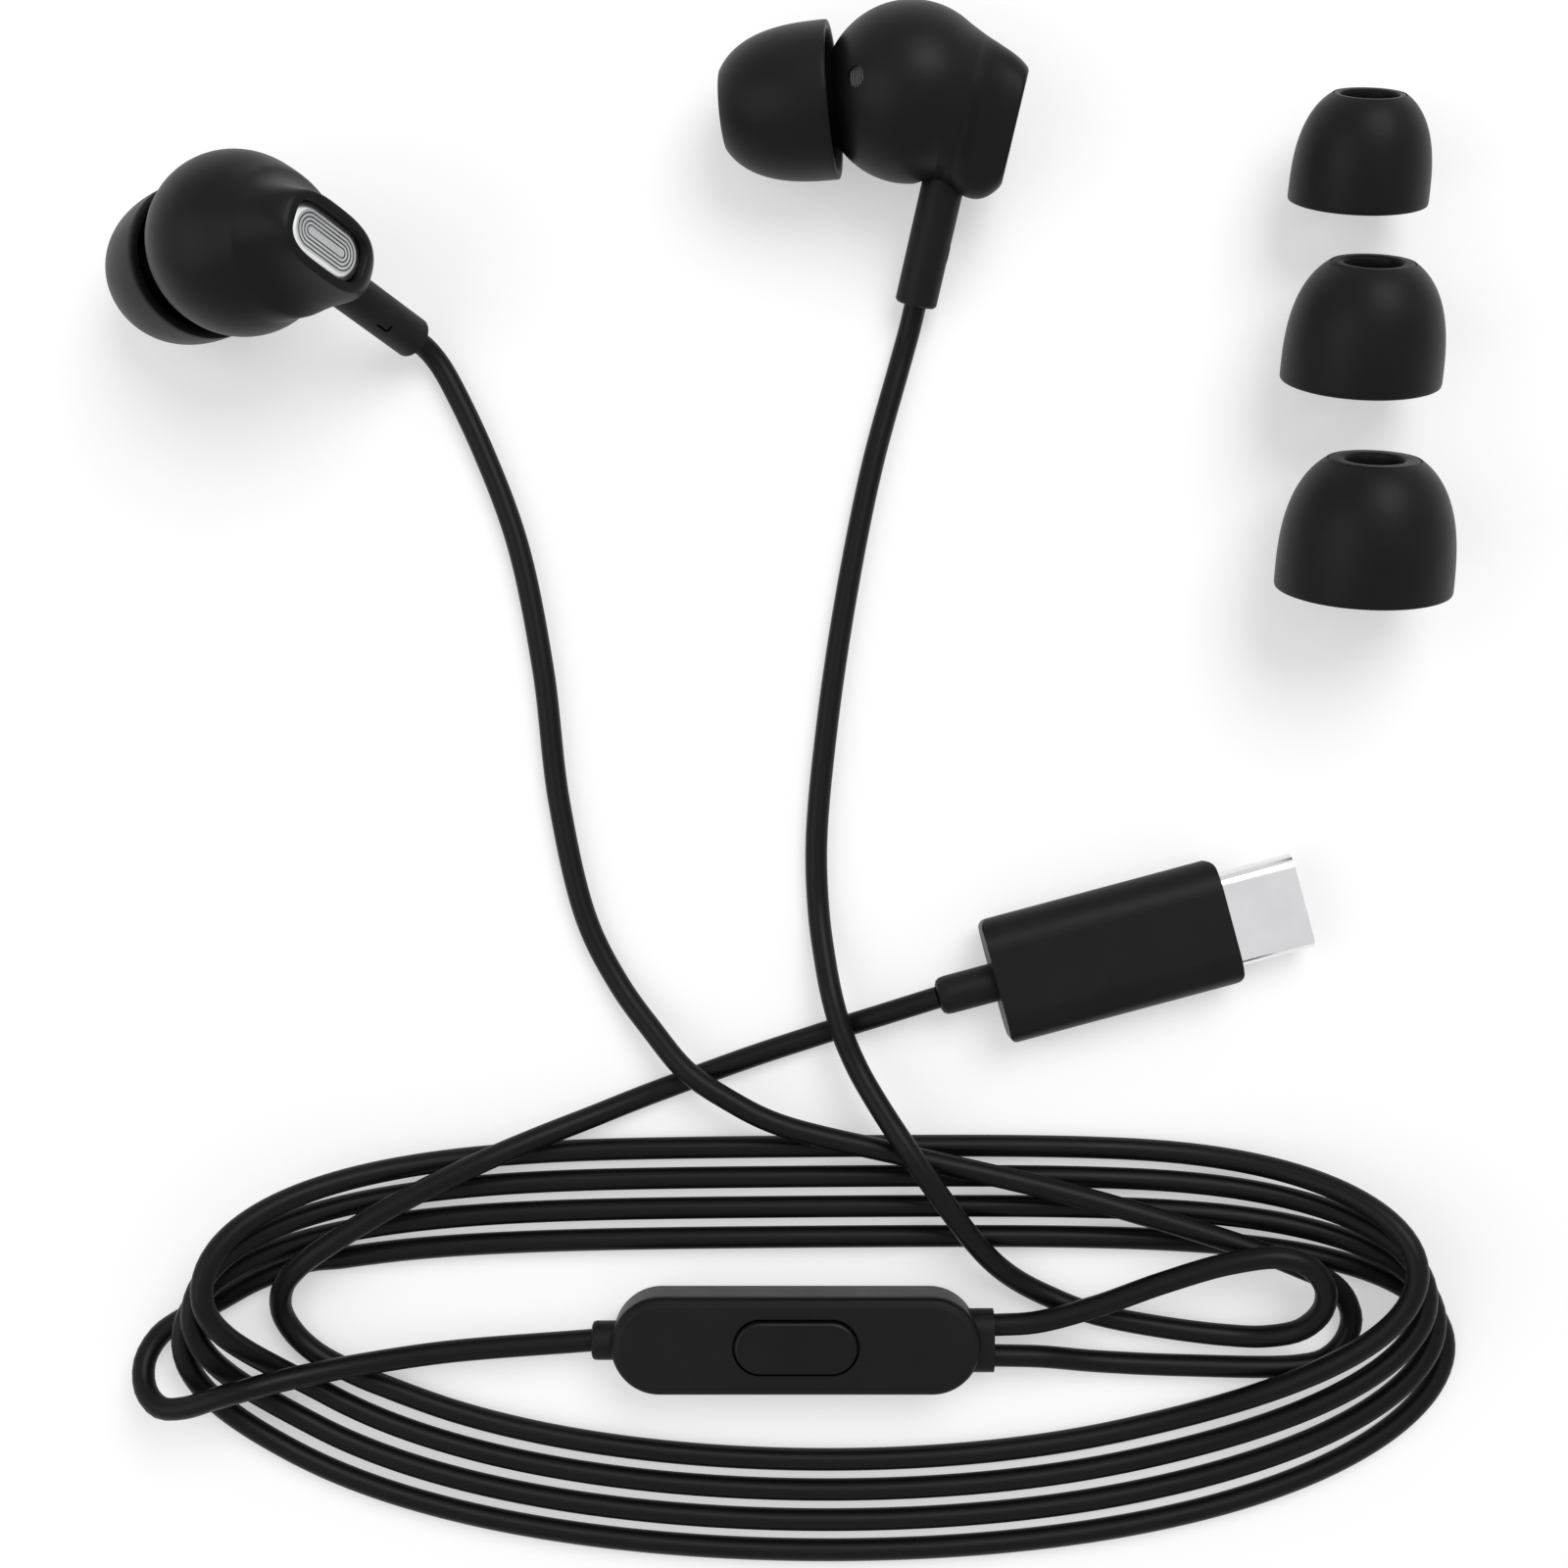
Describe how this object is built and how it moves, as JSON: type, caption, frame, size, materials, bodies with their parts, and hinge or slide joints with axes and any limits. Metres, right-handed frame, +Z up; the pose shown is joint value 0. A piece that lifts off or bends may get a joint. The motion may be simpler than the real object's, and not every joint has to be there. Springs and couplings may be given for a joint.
{
  "type": "wired in-ear earphones",
  "caption": "Wired in-ear earphones with oval metal inserts, an inline control with a push button, a plug and loose spare ear tips; the cord lies in nested loops.",
  "frame": {"origin": "middle of the inline control's flat underside, on the table", "axes": "+Z up from the table, +X along the control towards the bud cords, +Y towards the ear buds"},
  "size_m": [0.1147, 0.1319, 0.0223],
  "materials": {
    "cord": "smooth",
    "silicone": "satin",
    "insert_metal": "polished",
    "plug_metal": "polished",
    "screen": "woven",
    "steel": "plain",
    "film": "thin",
    "grey_plastic": "matt",
    "gilt": "plated",
    "board": "coated",
    "chip": "matt",
    "relief_rubber": "satin",
    "button_plastic": "satin",
    "plug_plastic": "satin",
    "control_plastic": "satin",
    "bud_plastic": "satin"
  },
  "bodies": {
    "earphones": {"right_front_housing": "bud_plastic", "right_rear_housing": "bud_plastic", "right_face_insert": "insert_metal", "right_cord_sleeve": "relief_rubber", "right_vent_mesh": "screen", "right_nozzle_mesh": "screen", "right_driver_frame": "grey_plastic", "right_driver_magnet": "steel", "right_diaphragm": "film", "right_ear_tip": "silicone", "left_front_housing": "bud_plastic", "left_rear_housing": "bud_plastic", "left_face_insert": "insert_metal", "left_cord_sleeve": "relief_rubber", "left_vent_mesh": "screen", "left_nozzle_mesh": "screen", "left_driver_frame": "grey_plastic", "left_driver_magnet": "steel", "left_diaphragm": "film", "left_ear_tip": "silicone", "control_back_shell": "control_plastic", "control_front_shell": "control_plastic", "control_switch_base": "grey_plastic", "control_board": "board", "control_microphone": "steel", "control_plug_side_collar": "relief_rubber", "control_bud_side_collar": "relief_rubber", "plug_housing": "plug_plastic", "plug_collar": "relief_rubber", "plug_metal_shell": "plug_metal", "plug_insulator": "plug_plastic", "plug_contacts": "gilt", "plug_board": "board", "plug_chip": "chip", "plug_tail_cord": "cord", "coiled_cord": "cord", "control_tail_cord": "cord", "left_bud_cord": "cord", "right_bud_cord": "cord"},
    "button": {"control_button": "button_plastic", "control_switch_plunger": "steel"},
    "spare_small_tip": {"spare_small_ear_tip": "silicone"},
    "spare_medium_tip": {"spare_medium_ear_tip": "silicone"},
    "spare_large_tip": {"spare_large_ear_tip": "silicone"}
  },
  "joints": [
    {"name": "button_press", "type": "slide", "parent": "earphones", "child": "button", "axis": [0, 0, -1], "range_m": [0, 0.0003], "stiffness_N_per_m": 1500, "springref_m": -0.0005},
    {"name": "spare_small_tip_lift", "type": "slide", "parent": "earphones", "child": "spare_small_tip", "axis": [0, 0, 1], "range_m": [0, 0.03]},
    {"name": "spare_medium_tip_lift", "type": "slide", "parent": "earphones", "child": "spare_medium_tip", "axis": [0, 0, 1], "range_m": [0, 0.03]},
    {"name": "spare_large_tip_lift", "type": "slide", "parent": "earphones", "child": "spare_large_tip", "axis": [0, 0, 1], "range_m": [0, 0.03]}
  ]
}
